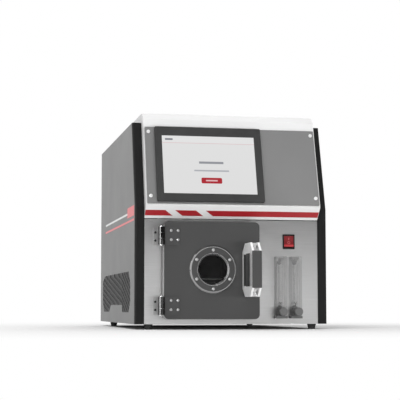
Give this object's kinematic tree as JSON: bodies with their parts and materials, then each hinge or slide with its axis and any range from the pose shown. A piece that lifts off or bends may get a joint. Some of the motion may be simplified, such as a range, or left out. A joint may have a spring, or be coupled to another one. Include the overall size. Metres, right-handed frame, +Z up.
{
  "type": "plasma cleaner",
  "caption": "Bench-top vacuum plasma cleaner: grey cabinet, black side frames, leaning touch-screen console, hinged chamber door with round window and handle, flow meters and rocker switch.",
  "frame": {"origin": "on the bench, at the middle of the whole machine seen from above", "axes": "+Z up, front towards -Y, +X to the right of a person facing the front"},
  "size_m": [0.4092, 0.753, 0.4532],
  "materials": {
    "black_frame": "satin black moulding",
    "grey_cover": "fine grey powder coat",
    "white_hood": "smooth white powder coat",
    "brushed_panel": "brushed stainless sheet",
    "zinc_sheet": "zinc-plated sheet",
    "red_film": "printed red film",
    "tinted_acrylic": "grey tinted acrylic",
    "bezel": "dark grey moulding",
    "screen": "lit display behind a clear cover",
    "door_dark": "dark grey anodised",
    "machined": "fine machined",
    "polished": "polished stainless",
    "dark_screw": "black oxide",
    "glass": "clear borosilicate",
    "rubber": "matt black",
    "seal": "fluoro rubber",
    "filter": "open foam mat",
    "switch_black": "black nylon",
    "rocker_red": "red translucent cap",
    "clear_acrylic": "polished clear acrylic",
    "meter_dark": "dark grey nylon",
    "float_steel": "turned steel",
    "nylon_tube": "natural nylon tube",
    "ceramic": "alumina ceramic",
    "stainless": "stainless steel",
    "module": "plain module case",
    "coil": "moulded coil",
    "fan_black": "black moulding",
    "guard": "chromed wire"
  },
  "bodies": {
    "cabinet": {"side_frame_left": "black_frame", "side_frame_right": "black_frame", "side_cover_left": "grey_cover", "side_cover_right": "grey_cover", "vent_filters": "filter", "base_pan": "zinc_sheet", "front_panel": "brushed_panel", "hood": "white_hood", "rear_panel": "grey_cover", "rear_screws": "stainless", "feet": "rubber", "accent_stripes": "red_film", "control_panel": "tinted_acrylic", "panel_screws": "polished", "screen_housing": "bezel", "screen_glass": "screen", "switch_housing": "switch_black", "flow_meters": "clear_acrylic", "meter_bases": "meter_dark", "chamber": "machined", "door_seal": "seal", "chamber_stands": "zinc_sheet", "chamber_rails": "ceramic", "upper_electrode": "machined", "electrode_posts": "ceramic", "feedthrough": "ceramic", "matching_box": "module", "rf_generator": "module", "power_supply": "zinc_sheet", "hinge_brackets": "polished", "hinge_pins": "polished", "bracket_screws": "dark_screw", "fan_frame": "fan_black", "fan_guard": "guard", "mains_inlet": "switch_black", "vacuum_pipe": "stainless", "vacuum_valve": "machined", "vacuum_port": "stainless", "vacuum_gauge": "module", "gas_valves": "coil", "gas_fittings": "stainless", "gas_tubes": "nylon_tube"},
    "door": {"door_panel": "machined", "door_cover": "door_dark", "window_seal": "seal", "window_glass": "glass", "window_clamp": "door_dark", "window_ring": "polished", "door_screws": "polished", "handle_cheeks": "machined", "handle_grip": "door_dark", "handle_spacers": "machined", "hinge_leaves": "door_dark"},
    "rocker": {"rocker": "rocker_red"},
    "knob_1": {"flow_knob_1": "meter_dark"},
    "knob_2": {"flow_knob_2": "meter_dark"},
    "float_1": {"flow_float_1": "float_steel"},
    "float_2": {"flow_float_2": "float_steel"},
    "fan_rotor": {"fan_rotor": "fan_black"},
    "tray": {"tray": "stainless"}
  },
  "joints": [
    {"name": "door_hinge", "type": "hinge", "parent": "cabinet", "child": "door", "pos_m": [-0.155, -0.2971, 0.121], "axis": [0, 0, -1], "range_deg": [0, 120]},
    {"name": "rocker_tilt", "type": "hinge", "parent": "cabinet", "child": "rocker", "pos_m": [0.122, -0.2545, 0.1827], "axis": [1, 0, 0], "range_deg": [0, 13]},
    {"name": "tray_slide", "type": "slide", "parent": "cabinet", "child": "tray", "axis": [0, -1, 0], "range_m": [0, 0.02]},
    {"name": "fan_spin", "type": "hinge", "parent": "cabinet", "child": "fan_rotor", "pos_m": [0.095, 0.326, 0.34072], "axis": [0, 1, 0], "continuous": true},
    {"name": "knob_1_turn", "type": "hinge", "parent": "cabinet", "child": "knob_1", "pos_m": [0.1015, -0.2885, 0.0363], "axis": [0, -1, 0], "range_deg": [0, 720]},
    {"name": "float_1_rise", "type": "slide", "parent": "cabinet", "child": "float_1", "axis": [0, 0, 1], "range_m": [0, 0.078]},
    {"name": "knob_2_turn", "type": "hinge", "parent": "cabinet", "child": "knob_2", "pos_m": [0.134, -0.2885, 0.0363], "axis": [0, -1, 0], "range_deg": [0, 720]},
    {"name": "float_2_rise", "type": "slide", "parent": "cabinet", "child": "float_2", "axis": [0, 0, 1], "range_m": [0, 0.078]}
  ]
}
